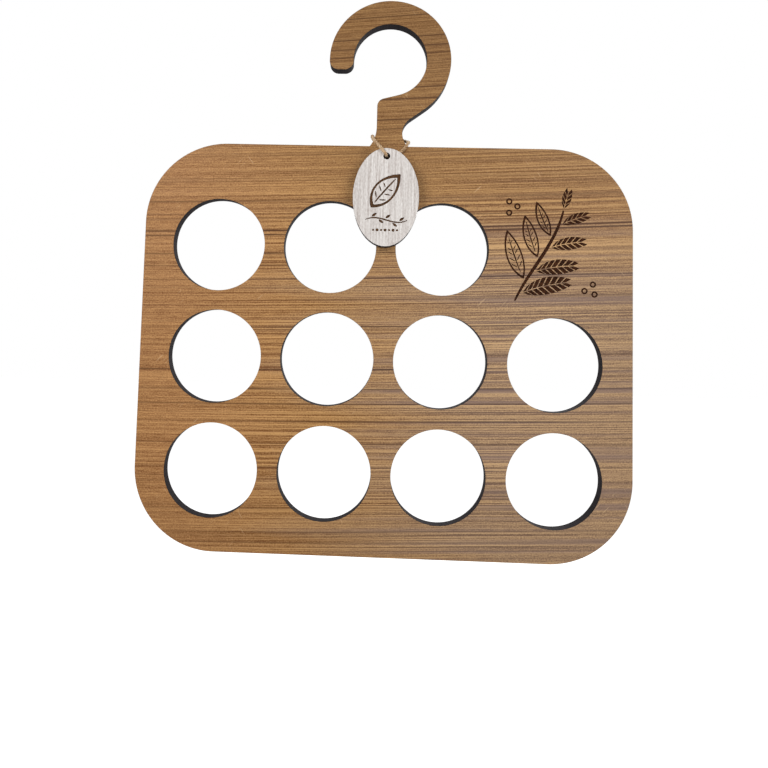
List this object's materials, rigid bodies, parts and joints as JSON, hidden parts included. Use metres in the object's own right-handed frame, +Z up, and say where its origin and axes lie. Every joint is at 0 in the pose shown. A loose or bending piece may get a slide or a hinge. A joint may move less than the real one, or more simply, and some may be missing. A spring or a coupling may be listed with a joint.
{
  "type": "scarf hanger",
  "caption": "Flat wooden scarf hanger: a board with rows of round holes, a question-mark hook cut in one piece with it and an oval tag on a twine loop.",
  "frame": {"origin": "axis of the rail that the hook hangs on, halfway through the board's thickness", "axes": "+Z up along the board's height, +X to the right as seen from the front, +Y to the back along the rail"},
  "size_m": [0.3, 0.0234, 0.343],
  "materials": {
    "board_core": "laser-cut fibreboard edge, charred near black",
    "board_veneer": "fine streaked brown wood veneer, satin lacquer",
    "tag_core": "laser-cut fibreboard edge, charred dark brown",
    "tag_face": "pale grey-white limed wood face, matt",
    "twine": "natural jute twine, plied and hairy"
  },
  "bodies": {
    "hanger": {"board_core": "board_core", "board_front_veneer": "board_veneer", "board_back_veneer": "board_veneer", "twine_knot": "twine"},
    "twine": {"twine_loop": "twine"},
    "tag": {"tag_core": "tag_core", "tag_front_face": "tag_face", "tag_back_face": "tag_face"}
  },
  "joints": [
    {"name": "tag_lift", "type": "hinge", "parent": "hanger", "child": "twine", "pos_m": [0, -0.0047, -0.051], "axis": [-1, 0, 0], "range_deg": [0, 130], "deforming": ["twine_loop"]},
    {"name": "tag_swing", "type": "hinge", "parent": "twine", "child": "tag", "pos_m": [-0.0009, -0.0092, -0.0637], "axis": [0, 1, 0], "range_deg": [-40, 40]}
  ]
}
